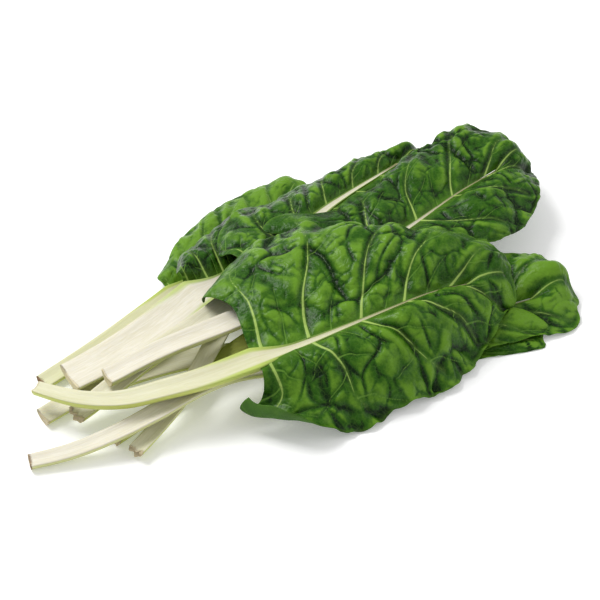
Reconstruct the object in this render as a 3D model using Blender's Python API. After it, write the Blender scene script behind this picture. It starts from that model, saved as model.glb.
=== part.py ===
"""A loose bunch of white-ribbed chard, sold as spinach: nine cut leaves lying on one another.

Each leaf is two solids. The stalk is the pale channelled stem that runs on as the leaf's rib, and the
blade is the green leaf, one sheet that goes round the rib's end. Leaves are laid from the lowest to
the top one, and each is lifted until it lies clear of the pile below it. Sizes are in millimetres.
The bunch lies along X, with the cut ends at -X, and the surface it lies on is Z = 0.
"""
import math

import bpy
import numpy as np

METRES = 0.001
BLADE_THICKNESS = 0.8
SEAM = 0.35  # between a blade and its own rib
END_GAP = 0.8  # between a blade and the end of its rib
AIR = 1.0  # least space between one leaf and the next
BUNCH_CENTRE = (16.1, 32.1)  # middle of the pile, which becomes the origin

FAN_ANGLES = (84, 80, 70, 60, 52, 42, 18)  # of a side vein from the rib, in degrees, base to tip
VEIN_BEND = 0.2  # how far a side vein turns towards the tip on its way out
BASE_CROWDING = 1.2  # over 1, side veins stand closer together at the base
ROOT_HEIGHT = 0.82  # where a blade meets the stalk's edge, as a share of the stalk's depth
RIB_END_WIDTH = 3.0
RIB_END_DEPTH = 3.0
RIB_TAPER = 2.6  # over 1, the rib thins fast where the blade starts
STALK_STIFFNESS = 0.0024  # how fast a stalk may come down from a high spot, per mm squared
CUT_STEPS = 9  # stations along a bare stalk

CELL = 2.0  # of the height map of the pile
MAP_LOW = (-340.0, -210.0)
MAP_SIZE = (360, 230)

BUMP_SIZE = 36.0  # across a bump or a hollow of a blade
BUMP_START = 17.0  # how far from the rib they have their full height

# Across the stalk: share of the half width, share of the depth. The top is a shallow channel.
STALK_SECTION = (
    (1.0, 0.96), (0.62, 0.90), (0.22, 0.80), (-0.22, 0.80), (-0.62, 0.90), (-1.0, 0.96),
    (-1.0, 0.68), (-0.70, 0.22), (-0.28, 0.0), (0.28, 0.0), (0.70, 0.22), (1.0, 0.68),
)

# rib: centre of the stalk's underside from the cut end to the rib's end.
# stalk: bare length. width, depth: of the stalk at the cut and where the blade starts.
# left, right: how far the blade reaches from the rib, from its base to its tip.
# rise_left, rise_right: height over the rib, from the rib to the edge, at the base, middle and tip.
# flare: how far the left and the right base lobe swing back, in degrees. pleats: side veins, which
# lie in shallow valleys. pleat_height, bumps, ruffle: heights of the blade between side veins, of its
# uneven bumps and of the waves at the edge.
LEAVES = (
    dict(
        name="low_front", seed=11, columns=10, rows=5, flare=(15, 15),
        rib=((-264, 17, 0), (-200, 24, 0), (-105, 8, 0), (0, -42, 0), (90, -92, 0), (150, -124, 0)),
        stalk=230, width=(20, 26), depth=(9, 10),
        left=(15, 45, 60, 62, 58, 50, 40), right=(15, 36, 40, 38, 34, 32, 38),
        rise_left=((0, 1, 1, 0, -3), (0, 2, 2, 0, -4), (0, 1, 1, 0, -3)),
        rise_right=((0, 0, -3, -6, -9), (0, 0, -3, -6, -9), (0, 0, -2, -4, -6)),
        pleats=5, pleat_height=1.6, bumps=2, ruffle=3.0,
    ),
    dict(
        name="under", seed=15, columns=10, rows=5, flare=(15, 15),
        rib=((-222, -42, 0), (-174, -31, 0), (-80, -10, 3), (30, 14, 8), (130, 34, 10), (200, 46, 10)),
        stalk=190, width=(14, 20), depth=(8, 9),
        left=(12, 46, 60, 62, 54, 44, 36), right=(12, 40, 50, 52, 48, 42, 36),
        rise_left=((0, 1, 2, 1, -3), (0, 2, 3, 2, -2), (0, 1, 2, 1, -2)),
        rise_right=((0, 1, 1, 0, -3), (0, 2, 2, 0, -3), (0, 1, 1, 0, -3)),
        pleats=5, pleat_height=2.0, bumps=2, ruffle=4.0,
    ),
    dict(
        name="low_back", seed=12, columns=16, rows=7, flare=(0, 0),
        rib=((-245, 58, 0), (-176, 75, 0), (-110, 95, 0), (-40, 118, 0), (40, 143, 0), (90, 158, 0)),
        stalk=172, width=(18, 24), depth=(9, 10),
        left=(20, 38, 66, 84, 84, 66, 44), right=(12, 40, 52, 52, 46, 40, 38),
        rise_left=((0, 3, 5, 4, -2), (0, 4, 6, 6, 2), (0, 2, 3, 2, 0)),
        rise_right=((0, 1, 1, 0, -3), (0, 1, 1, 0, -3), (0, 1, 1, 0, -3)),
        pleats=6, pleat_height=2.0, bumps=4, ruffle=5.0,
    ),
    dict(
        name="far_back", seed=13, columns=10, rows=5, flare=(15, 15),
        rib=((-214, -68, 0), (-144, -36, 0), (-60, 30, 2), (10, 96, 6), (60, 142, 8), (92, 170, 8)),
        stalk=228, width=(15, 20), depth=(8, 9),
        left=(10, 30, 46, 58, 60, 52, 42), right=(10, 36, 50, 52, 48, 42, 38),
        rise_left=((0, 2, 3, 2, -2), (0, 3, 6, 7, 5), (0, 3, 6, 7, 5)),
        rise_right=((0, 1, 1, 0, -3), (0, 2, 2, 0, -3), (0, 1, 1, 0, -3)),
        pleats=5, pleat_height=2.0, bumps=2, ruffle=4.0,
    ),
    dict(
        name="right", seed=14, columns=18, rows=8, flare=(15, 15),
        rib=((-297, -27, 0), (-240, -45, 4), (-185, -53, 8), (-100, -50, 6), (0, -68, 8), (110, -82, 10),
             (206, -98, 9)),
        stalk=262, width=(15, 24), depth=(9, 11),
        left=(15, 50, 66, 78, 86, 82, 42), right=(12, 34, 44, 52, 64, 80, 48),
        rise_left=((0, 2, 3, 2, -2), (0, 5, 9, 9, 4), (0, 8, 16, 24, 22)),
        rise_right=((0, -2, -5, -9, -14), (0, 0, -3, -8, -14), (0, 5, 6, 0, -10)),
        pleats=6, pleat_height=4.0, bumps=6, ruffle=6.0,
    ),
    dict(
        name="broad_stalk", seed=17, columns=18, rows=8, flare=(20, 20),
        rib=((-226, 38, 10), (-183, 40, 14), (-136, 49, 16), (-81, 66, 18), (-20, 86, 22), (40, 106, 26)),
        stalk=160, width=(36, 42), depth=(11, 13),
        left=(12, 40, 60, 72, 74, 70, 60), right=(10, 20, 30, 42, 56, 62, 60),
        rise_left=((0, 8, 12, 8, -4), (0, 7, 11, 8, -4), (0, 4, 8, 6, -2)),
        rise_right=((0, 2, 2, 0, -3), (0, 4, 6, 4, 0), (0, 5, 8, 6, 0)),
        pleats=6, pleat_height=4.0, bumps=6, ruffle=6.0,
    ),
    dict(
        name="rear_middle", seed=16, columns=20, rows=8, flare=(15, 15),
        rib=((-240, -6, 8), (-170, 6, 22), (-100, 19, 27), (-44, 34, 30), (30, 67, 34), (100, 100, 38),
             (172, 119, 39), (210, 131, 35)),
        stalk=232, width=(20, 28), depth=(10, 12),
        left=(46, 68, 60, 53, 48, 47, 42), right=(14, 46, 60, 66, 60, 48, 36),
        rise_left=((0, 6, 6, 0, -12), (0, 6, 8, 4, -6), (0, 5, 8, 8, 2)),
        rise_right=((0, 2, 2, 0, -5), (0, 3, 3, 1, -5), (0, 2, 2, 0, -5)),
        pleats=6, pleat_height=4.0, bumps=5, ruffle=5.0,
    ),
    dict(
        name="upper_right", seed=18, columns=24, rows=10, flare=(24, 24),
        rib=((-205, 1, 27), (-143, -2, 34), (-72, -6, 38), (40, -2, 42), (143, 21, 46), (220, 41, 47),
             (284, 56, 43)),
        stalk=250, width=(20, 27), depth=(11, 12),
        left=(108, 70, 66, 88, 100, 98, 44), right=(16, 50, 66, 97, 92, 72, 46),
        rise_left=((0, 4, 6, 5, 0), (0, 8, 14, 16, 10), (0, 8, 14, 16, 10)),
        rise_right=((0, 2, 3, 0, -6), (0, 4, 4, 0, -10), (0, 5, 5, -2, -16)),
        pleats=4.5, pleat_height=5.0, bumps=6, ruffle=5.0,
    ),
    dict(
        name="top", seed=19, columns=30, rows=12, flare=(17, 65),
        rib=((-261, 32, 22), (-236, -6, 26), (-206, -31, 28), (-174, -45, 31), (-140, -55, 34),
             (-94, -62, 40), (-47, -70, 46), (9, -76, 53), (92, -80, 56), (134, -84, 50)),
        stalk=207, width=(13, 27), depth=(10, 13),
        left=(98, 140, 142, 118, 95, 79, 52), right=(30, 63, 75, 86, 76, 62, 50),
        rise_left=((0, 6, 14, 14, 2), (0, 14, 27, 30, 14), (0, 8, 14, 16, 6)),
        rise_right=((0, -6, -18, -30, -36), (0, 3, -6, -26, -56), (0, 4, -4, -20, -44)),
        pleats=4.5, pleat_height=5.0, bumps=6.5, ruffle=5.0,
    ),
)

STALK_COLOUR = (0.82, 0.80, 0.66, 1.0)
BLADE_COLOUR = (0.055, 0.16, 0.02, 1.0)


def clear_scene():
    for obj in list(bpy.data.objects):
        bpy.data.objects.remove(obj, do_unlink=True)


def material(name, colour, roughness):
    mat = bpy.data.materials.new(name)
    mat.use_nodes = True
    shader = mat.node_tree.nodes["Principled BSDF"]
    shader.inputs["Base Color"].default_value = colour
    shader.inputs["Roughness"].default_value = roughness
    shader.inputs["Metallic"].default_value = 0.0
    return mat


def through(knots, where):
    """Smooth curve through evenly spaced knots, read at shares of its length from 0 to 1."""
    knots = np.asarray(knots, float)
    at = np.clip(np.asarray(where, float), 0, 1) * (len(knots) - 1)
    i = np.minimum(at.astype(int), len(knots) - 2)
    f = at - i
    if knots.ndim > 1:
        f = f[:, None]
    before = knots[np.maximum(i - 1, 0)]
    after = knots[np.minimum(i + 2, len(knots) - 1)]
    a, b = knots[i], knots[i + 1]
    return a + 0.5 * f * (b - before + f * (2 * before - 5 * a + 4 * b - after
                                            + f * (3 * (a - b) + after - before)))


class Rib:
    """Centre line of a leaf's stalk and rib, measured along its length."""

    def __init__(self, knots):
        self.points = through(knots, np.linspace(0, 1, 400))
        steps = np.linalg.norm(np.diff(self.points[:, :2], axis=0), axis=1)
        self.travel = np.concatenate([[0], np.cumsum(steps)])
        self.length = self.travel[-1]

    def at(self, travel):
        """Points and unit directions in plan at these distances from the cut end."""
        spots = np.stack([np.interp(travel, self.travel, self.points[:, k]) for k in range(3)], 1)
        ahead = np.interp(travel + 2.0, self.travel, self.points[:, 0])
        behind = np.interp(travel - 2.0, self.travel, self.points[:, 0])
        ahead_y = np.interp(travel + 2.0, self.travel, self.points[:, 1])
        behind_y = np.interp(travel - 2.0, self.travel, self.points[:, 1])
        along = np.stack([ahead - behind, ahead_y - behind_y], 1)
        return spots, along / np.linalg.norm(along, axis=1)[:, None]


class Pile:
    """Height map of everything laid so far, starting as the bare surface."""

    def __init__(self):
        self.top = np.zeros(MAP_SIZE)

    def cells(self, xy):
        i = np.clip(((xy[..., 0] - MAP_LOW[0]) / CELL).astype(int), 0, MAP_SIZE[0] - 1)
        j = np.clip(((xy[..., 1] - MAP_LOW[1]) / CELL).astype(int), 0, MAP_SIZE[1] - 1)
        return i, j

    def height(self, points):
        return self.top[self.cells(points)]

    def floor_for(self, points):
        """Lowest the underside may be here: on the bare surface, or clear of another leaf."""
        top = self.height(points)
        return np.where(top > 0, top + AIR, 0.0)

    def add(self, points):
        np.maximum.at(self.top, self.cells(points), points[..., 2])

    def softened(self, reach):
        """The pile as a leaf feels it: hollows narrower than reach are bridged and bumps rounded."""
        wide = self.top.copy()
        for _ in range(reach):
            for axis in (0, 1):
                wide = np.maximum(wide, np.maximum(np.roll(wide, 1, axis), np.roll(wide, -1, axis)))
        for _ in range(reach):
            for axis in (0, 1):
                wide = (2 * wide + np.roll(wide, 1, axis) + np.roll(wide, -1, axis)) / 4
        soft = Pile()
        soft.top = wide
        return soft


def face_samples(points, faces, parts=7):
    """Points spread evenly over each triangle, as an array of faces by samples by 3."""
    steps = [(i, j, parts - i - j) for i in range(parts + 1) for j in range(parts + 1 - i)]
    return np.einsum("sk,fkc->fsc", np.array(steps) / parts, points[faces])


def half_thickness_up(points, faces):
    """Half the blade's thickness measured straight up, for each face."""
    a, b, c = (points[faces[:, k]] for k in range(3))
    normal = np.cross(b - a, c - a)
    level = np.abs(normal[:, 2]) / np.maximum(np.linalg.norm(normal, axis=1), 1e-9)
    return 0.5 * BLADE_THICKNESS / np.maximum(level, 0.2)


def grid_faces(across, along):
    """Two triangles for each cell of a grid of points stored row by row."""
    faces = []
    for r in range(along - 1):
        for c in range(across - 1):
            a = r * across + c
            b, d, e = a + 1, a + across, a + across + 1
            faces += [(a, b, e), (a, e, d)] if c < across // 2 else [(a, b, d), (b, e, d)]
    return np.array(faces)


def stalk_stations(leaf, rib):
    """Distances along the rib of the stalk's sections: the bare stalk, then one for each vein column."""
    bare = np.linspace(0, leaf["stalk"], CUT_STEPS, endpoint=False)
    return np.concatenate([bare, column_travel(leaf, rib)])


def column_shares(leaf):
    return np.linspace(0, 1, leaf["columns"]) ** BASE_CROWDING


def column_travel(leaf, rib):
    return leaf["stalk"] + column_shares(leaf) * (rib.length - leaf["stalk"])


def stalk_size(leaf, rib, travel):
    """Width and depth of the stalk at these distances from the cut end."""
    stem = np.clip(travel / leaf["stalk"], 0, 1)
    blade = np.clip((travel - leaf["stalk"]) / (rib.length - leaf["stalk"]), 0, 1)
    width = leaf["width"][0] + (leaf["width"][1] - leaf["width"][0]) * stem
    depth = leaf["depth"][0] + (leaf["depth"][1] - leaf["depth"][0]) * stem
    taper = (1 - blade) ** RIB_TAPER
    return RIB_END_WIDTH + (width - RIB_END_WIDTH) * taper, RIB_END_DEPTH + (depth - RIB_END_DEPTH) * taper


def lifted_rib(leaf, rib, pile):
    """Raises the rib's line just enough to pass over the pile, without sharp bends."""
    travel = np.arange(0, rib.length, 3.0)
    spots, along = rib.at(travel)
    width = stalk_size(leaf, rib, travel)[0]
    side = np.stack([-along[:, 1], along[:, 0]], 1)
    need = np.zeros(len(travel))
    for share in np.linspace(-1.25, 1.25, 11):
        under = spots[:, :2] + side * (0.5 * width * share)[:, None]
        need = np.maximum(need, pile.floor_for(under) - spots[:, 2])
    gap = np.abs(travel[:, None] - travel[None, :])
    lift = np.maximum(need[None, :] - STALK_STIFFNESS * gap**2, 0).max(axis=1)
    rib.points[:, 2] += np.interp(rib.travel, travel, lift)


def stalk_mesh(leaf, rib):
    travel = stalk_stations(leaf, rib)
    spots, along = rib.at(travel)
    width, depth = stalk_size(leaf, rib, travel)
    side = np.stack([-along[:, 1], along[:, 0]], 1)
    points = []
    for k in range(len(travel)):
        for across, up in STALK_SECTION:
            xy = spots[k, :2] + side[k] * 0.5 * width[k] * across
            points.append((*xy, spots[k, 2] + depth[k] * up))
    ring = len(STALK_SECTION)
    faces = []
    for k in range(len(travel) - 1):
        for m in range(ring):
            a, b = k * ring + m, k * ring + (m + 1) % ring
            faces += [(a, b, b + ring), (a, b + ring, a + ring)]
    for start, turn in ((0, True), ((len(travel) - 1) * ring, False)):
        centre = len(points)
        points.append(tuple(np.mean([points[start + m] for m in range(ring)], axis=0)))
        for m in range(ring):
            a, b = start + m, start + (m + 1) % ring
            faces.append((centre, b, a) if turn else (centre, a, b))
    return np.array(points), np.array(faces)


def blade_sheet(leaf, rib):
    """Middle surface of the blade: columns from the left base round the tip to the right base."""
    shares, travel = column_shares(leaf), column_travel(leaf, rib)
    spots, along = rib.at(travel)
    spots[-1, :2] += along[-1] * END_GAP
    width, depth = stalk_size(leaf, rib, travel)
    angle = np.radians(through(FAN_ANGLES, shares))
    out = np.linspace(0, 1, leaf["rows"] + 1)
    late = np.clip((out - 0.4) / 0.4, 0, 1)
    swung = late * late * (3 - 2 * late)
    rng = np.random.default_rng(leaf["seed"])
    swing = rng.uniform(0, 2 * math.pi, 2)
    columns = []
    for turn, reach, rise, flare in ((1, leaf["left"], leaf["rise_left"], leaf["flare"][0]),
                                     (-1, leaf["right"], leaf["rise_right"], leaf["flare"][1])):
        span = through(reach, shares)
        for k, share in enumerate(shares):
            side = np.array([-along[k, 1], along[k, 0]]) * turn
            root = spots[k, :2] + side * (0.5 * width[k] + SEAM)
            bend = angle[k] * (1 - VEIN_BEND * min(1, 3 * share) * out)
            bend = bend + math.radians(flare) * (1 - share) ** 6 * swung
            heading = np.cos(bend)[:, None] * along[k] + np.sin(bend)[:, None] * side
            plan = root + heading * (out * span[k])[:, None]
            height = spots[k, 2] + depth[k] * ROOT_HEIGHT + blade_rise(leaf, rise, share, out, swing, turn)
            height += leaf["bumps"] * np.minimum(out * span[k] / BUMP_START, 1) * bumps(plan, leaf["seed"])
            columns.append(np.column_stack([plan, height]))
    left, right = columns[:len(shares)], columns[len(shares):]
    reach = 0.5 * (leaf["left"][-1] + leaf["right"][-1])
    plan = spots[-1, :2] + along[-1] * (out * reach)[:, None]
    tip = np.column_stack([plan, 0.5 * (left[-1][:, 2] + right[-1][:, 2])])
    return np.stack(left + [tip] + right[::-1], axis=1)


def bumps(plan, seed):
    """Gradient noise at these places: smooth bumps and hollows, from -1 to 1."""
    turn = np.random.default_rng(seed).uniform(0, 2 * math.pi, (64, 64))
    across, up = plan[:, 0] / BUMP_SIZE + 64, plan[:, 1] / BUMP_SIZE + 64
    i, j = np.floor(across).astype(int), np.floor(up).astype(int)
    fx, fy = across - i, up - j
    ease_x, ease_y = fx * fx * (3 - 2 * fx), fy * fy * (3 - 2 * fy)
    total = 0
    for a in (0, 1):
        for b in (0, 1):
            angle = turn[(i + a) % 64, (j + b) % 64]
            slope = np.cos(angle) * (fx - a) + np.sin(angle) * (fy - b)
            total = total + slope * (ease_x if a else 1 - ease_x) * (ease_y if b else 1 - ease_y)
    return 1.6 * total


def blade_rise(leaf, rise, share, out, swing, turn):
    """Height of the blade over its root: its hang, its rise between veins and its waved edge."""
    hang = [through(row, out) for row in rise]
    hang = through(np.array(hang), np.array([share]))[0]
    wave = 2 * math.pi * leaf["pleats"] * share
    grown = out**0.8 * (0.35 + 0.65 * out)
    pleat = -leaf["pleat_height"] * math.cos(wave + 0.5 * turn) * grown
    edge = leaf["ruffle"] * out**3 * (
        0.6 * math.sin(2.3 * wave + swing[0] + turn) + 0.4 * math.sin(1.35 * wave + swing[1] * turn))
    return hang + pleat + edge


def settle(sheet, pile, soft):
    """Drapes the sheet over the softened pile, then raises what still touches the real one."""
    rows, across = sheet.shape[:2]
    points = sheet.reshape(-1, 3).copy()
    faces = grid_faces(across, rows)
    fixed = np.zeros(len(points), bool)
    fixed[:across] = True
    rest = soft.height(points) + AIR + BLADE_THICKNESS
    over = points[:, 2] - rest
    draped = rest + 0.5 * (over + np.sqrt(over**2 + 4.0))
    points[~fixed, 2] = draped[~fixed]
    for _ in range(60):
        half = half_thickness_up(points, faces)
        samples = face_samples(points, faces)
        need = (pile.floor_for(samples) + half[:, None] - samples[..., 2]).max(axis=1)
        lift = np.zeros(len(points))
        np.maximum.at(lift, faces, np.maximum(need, 0)[:, None] * np.ones(3))
        lift[fixed] = 0
        if lift.max() < 0.02:
            break
        points[:, 2] += lift
    return points.reshape(sheet.shape)


def blade_mesh(sheet):
    """Gives the sheet its thickness: both faces split alike, and a rim all round."""
    rows, across = sheet.shape[:2]
    points = sheet.reshape(-1, 3)
    faces = grid_faces(across, rows)
    a, b, c = (points[faces[:, k]] for k in range(3))
    normals = np.zeros_like(points)
    for k in range(3):
        np.add.at(normals, faces[:, k], np.cross(b - a, c - a))
    normals /= np.linalg.norm(normals, axis=1)[:, None]
    if normals[:, 2].mean() < 0:
        normals, faces = -normals, faces[:, ::-1]
    upper = points + normals * 0.5 * BLADE_THICKNESS
    lower = points - normals * 0.5 * BLADE_THICKNESS
    lower[:, 2] = np.maximum(lower[:, 2], 0)
    count = len(points)
    edges = {}
    for face in faces:
        for m in range(3):
            edges[(face[m], face[(m + 1) % 3])] = True
    rim = [(p, q) for p, q in edges if (q, p) not in edges]
    sides = [(q, p, p + count) for p, q in rim] + [(q, p + count, q + count) for p, q in rim]
    return np.vstack([upper, lower]), np.vstack([faces, faces[:, ::-1] + count, np.array(sides)])


def add_object(name, points, faces, mat, smooth_angle):
    mesh = bpy.data.meshes.new(name)
    shifted = (points - np.array([*BUNCH_CENTRE, 0.0])) * METRES
    mesh.from_pydata(shifted.tolist(), [], faces.tolist())
    mesh.materials.append(mat)
    mesh.shade_smooth()
    mesh.set_sharp_from_angle(angle=math.radians(smooth_angle))
    obj = bpy.data.objects.new(name, mesh)
    bpy.context.scene.collection.objects.link(obj)
    return obj


def lay_leaf(leaf, pile, stalk_material, blade_material):
    rib = Rib(leaf["rib"])
    lifted_rib(leaf, rib, pile)
    stalk_points, stalk_faces = stalk_mesh(leaf, rib)
    sheet = settle(blade_sheet(leaf, rib), pile, pile.softened(4))
    blade_points, blade_faces = blade_mesh(sheet)
    add_object(leaf["name"] + "_stalk", stalk_points, stalk_faces, stalk_material, 50)
    add_object(leaf["name"] + "_blade", blade_points, blade_faces, blade_material, 60)
    pile.add(face_samples(stalk_points, stalk_faces, 10))
    pile.add(face_samples(blade_points, blade_faces, 10))


def main():
    clear_scene()
    stalk_material = material("chard_stalk", STALK_COLOUR, 0.4)
    blade_material = material("chard_blade", BLADE_COLOUR, 0.35)
    pile = Pile()
    for leaf in LEAVES:
        lay_leaf(leaf, pile, stalk_material, blade_material)


main()
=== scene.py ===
import math

import bpy
import numpy as np
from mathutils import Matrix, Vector
from mathutils.bvhtree import BVHTree


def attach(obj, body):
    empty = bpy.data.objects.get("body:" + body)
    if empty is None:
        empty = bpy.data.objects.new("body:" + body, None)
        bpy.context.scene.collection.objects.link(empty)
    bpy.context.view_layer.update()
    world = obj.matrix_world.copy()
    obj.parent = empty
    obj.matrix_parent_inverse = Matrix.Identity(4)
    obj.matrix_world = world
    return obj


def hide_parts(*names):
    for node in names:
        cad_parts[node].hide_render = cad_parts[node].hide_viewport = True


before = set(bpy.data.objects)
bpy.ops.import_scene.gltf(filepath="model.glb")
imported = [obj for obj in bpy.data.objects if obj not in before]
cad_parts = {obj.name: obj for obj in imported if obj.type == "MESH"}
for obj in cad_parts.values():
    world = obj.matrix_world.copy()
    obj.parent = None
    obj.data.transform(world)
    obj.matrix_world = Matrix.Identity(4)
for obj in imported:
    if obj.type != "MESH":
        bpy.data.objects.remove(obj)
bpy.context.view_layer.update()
print("frame loaded with", len(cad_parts), "nodes")

# Lengths are in millimetres until a mesh is written, and the cut ends lie at -X.
mm = 0.001
bunchCentre = np.array([16.1, 32.1])
noiseTile = 64  # cells after which a noise repeats


# Noise and curves on numpy arrays

def gradientNoise(x, y, size, seed):  # smooth bumps about size across, from -1 to 1
    turn = np.random.default_rng(seed).uniform(0, 2 * math.pi, (noiseTile, noiseTile))
    gx, gy = x / size + noiseTile, y / size + noiseTile
    i, j = np.floor(gx).astype(int), np.floor(gy).astype(int)
    fx, fy = gx - i, gy - j
    sx, sy = fx * fx * (3 - 2 * fx), fy * fy * (3 - 2 * fy)
    total = 0
    for a in (0, 1):
        for b in (0, 1):
            angle = turn[(i + a) % noiseTile, (j + b) % noiseTile]
            slope = np.cos(angle) * (fx - a) + np.sin(angle) * (fy - b)
            total = total + slope * (sx if a else 1 - sx) * (sy if b else 1 - sy)
    return total * 1.6


def rowNoise(along, track, size, seed):  # the same bumps along one line
    return gradientNoise(along, np.full(len(along), float(track)), size, seed)


def creaseGap(x, y, size, seed):  # distance from the nearest crease in a net of uneven cells
    middle = np.random.default_rng(seed).uniform(0.1, 0.9, (noiseTile, noiseTile, 2))
    gx, gy = x / size + noiseTile, y / size + noiseTile
    i, j = np.floor(gx).astype(int), np.floor(gy).astype(int)
    away = []
    for a in (-1, 0, 1):
        for b in (-1, 0, 1):
            spot = middle[(i + a) % noiseTile, (j + b) % noiseTile]
            away.append(np.hypot(i + a + spot[..., 0] - gx, j + b + spot[..., 1] - gy))
    away = np.sort(away, axis=0)
    return 0.5 * size * (away[1] - away[0])


def creases(x, y, size, width, seed):  # 1 in creases that come and go, 0 off them
    bentX = x + 0.3 * size * gradientNoise(x, y, 0.9 * size, seed + 1)
    bentY = y + 0.3 * size * gradientNoise(x, y, 0.9 * size, seed + 2)
    gap = creaseGap(bentX, bentY, size, seed)
    present = ease(gradientNoise(x, y, 1.5 * size, seed + 9), -0.25, 0.3)
    return np.exp(-(gap / width) ** 1.3) * present


def blurred(field, reach):  # mean over a square of cells
    for axis in (0, 1):
        count = field.shape[axis]
        edge = [(reach, reach) if axis == k else (0, 0) for k in range(field.ndim)]
        wide = np.pad(field, edge, mode="edge")
        slices = [np.take(wide, range(k, k + count), axis=axis) for k in range(2 * reach + 1)]
        field = sum(slices) / (2 * reach + 1)
    return field


def ease(value, low, high):  # 0 below low, 1 above high, smooth between
    t = np.clip((value - low) / (high - low), 0, 1)
    return t * t * (3 - 2 * t)


def throughKnots(knots, where):  # smooth curve through evenly spaced knots
    knots = np.asarray(knots, float)
    at = np.clip(np.asarray(where, float), 0, 1) * (len(knots) - 1)
    i = np.minimum(at.astype(int), len(knots) - 2)
    f = (at - i).reshape((-1,) + (1,) * (knots.ndim - 1))
    before, after = knots[np.maximum(i - 1, 0)], knots[np.minimum(i + 2, len(knots) - 1)]
    a, b = knots[i], knots[i + 1]
    bend = 2 * before - 5 * a + 4 * b - after + f * (3 * (a - b) + after - before)
    return a + 0.5 * f * (b - before + f * bend)


def travelled(points):  # distance along a row of points, from 0 at the first
    steps = np.linalg.norm(np.diff(points, axis=0), axis=1)
    return np.concatenate([[0], np.cumsum(steps)])


def sampled(sheet, i, j):  # the sheet at row i and column j, which needn't be whole
    a = np.minimum(i.astype(int), sheet.shape[0] - 2)
    b = np.minimum(j.astype(int), sheet.shape[1] - 2)
    f, g = (i - a)[..., None], (j - b)[..., None]
    near = sheet[a, b] * (1 - g) + sheet[a, b + 1] * g
    return near * (1 - f) + (sheet[a + 1, b] * (1 - g) + sheet[a + 1, b + 1] * g) * f


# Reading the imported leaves

def cadTree(names):  # the named nodes as one tree to cast rays at
    points, faces = [], []
    for name in names:
        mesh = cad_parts[name].data
        start = len(points)
        points += [v.co / mm for v in mesh.vertices]
        faces += [[start + v for v in face.vertices] for face in mesh.polygons]
    return BVHTree.FromPolygons(points, faces) if faces else None


def castAll(tree, xy, start, way, missing):
    heights = np.full(len(xy), float(missing))
    if tree is None:
        return heights
    ray = Vector((0, 0, way))
    for k, (x, y) in enumerate(xy.tolist()):
        hit = tree.ray_cast(Vector((x, y, start)), ray)[0]
        if hit is not None:
            heights[k] = hit.z
    return heights


def topOf(tree, xy, missing):  # height of the highest face over each spot
    return castAll(tree, xy, 400.0, -1.0, missing)


def undersideOf(tree, xy, missing):
    return castAll(tree, xy, -50.0, 1.0, missing)


# The plan of a leaf

leafPlan = {
    "rootSeam": 0.35, "endGap": 0.8,  # between the rib and the sheet of the blade
    "crowding": 1.2,  # side veins stand closer together at the base
    "fanAngles": (84, 80, 70, 60, 52, 42, 18), "veinBend": 0.2,  # side veins off the rib, base to tip
    "ribEnd": (3.0, 3.0), "ribTaper": 2.6,  # width and depth at the rib's tip, and how soon it thins
    "edgeNudge": 0.02,  # share of a cell by which the rays keep inside the margins
}


class RibLine:
    def __init__(self, leaf):
        knots = np.array(leaf["rib"], float) - bunchCentre
        self.spots = throughKnots(knots, np.linspace(0, 1, 400))
        self.travel = travelled(self.spots)
        self.length = self.travel[-1]

    def spotAt(self, travel):
        return np.stack([np.interp(travel, self.travel, self.spots[:, k]) for k in (0, 1)], 1)

    def at(self, travel):  # spots on the rib, and the way that it runs there
        along = self.spotAt(travel + 2) - self.spotAt(travel - 2)
        return self.spotAt(travel), along / np.linalg.norm(along, axis=1)[:, None]

    def size(self, leaf, travel):  # width and depth of the stalk and the rib
        stem = np.clip(travel / leaf["stalk"], 0, 1)
        blade = np.clip((travel - leaf["stalk"]) / (self.length - leaf["stalk"]), 0, 1)
        taper = (1 - blade) ** leafPlan["ribTaper"]
        return [end + (a + (b - a) * stem - end) * taper
                for (a, b), end in zip((leaf["width"], leaf["depth"]), leafPlan["ribEnd"])]


def packedHeights(leaf, plan):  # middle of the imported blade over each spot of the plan
    tree = cadTree([leaf["name"] + "_blade"])
    inner = plan.copy()
    for edge, beside in ((0, 1), (-1, -2)):
        inner[edge] += leafPlan["edgeNudge"] * (plan[beside] - plan[edge])
    for edge, beside in ((0, 1), (-1, -2)):
        inner[:, edge] += leafPlan["edgeNudge"] * (plan[:, beside] - plan[:, edge])
    flat = inner.reshape(-1, 2)
    top, under = topOf(tree, flat, -1), undersideOf(tree, flat, -1)
    height = 0.5 * (top + under)
    for k in np.nonzero(top < 0)[0]:
        height[k] = tree.find_nearest(Vector((*flat[k], 30.0)))[0].z
    return height.reshape(plan.shape[:2])


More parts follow.
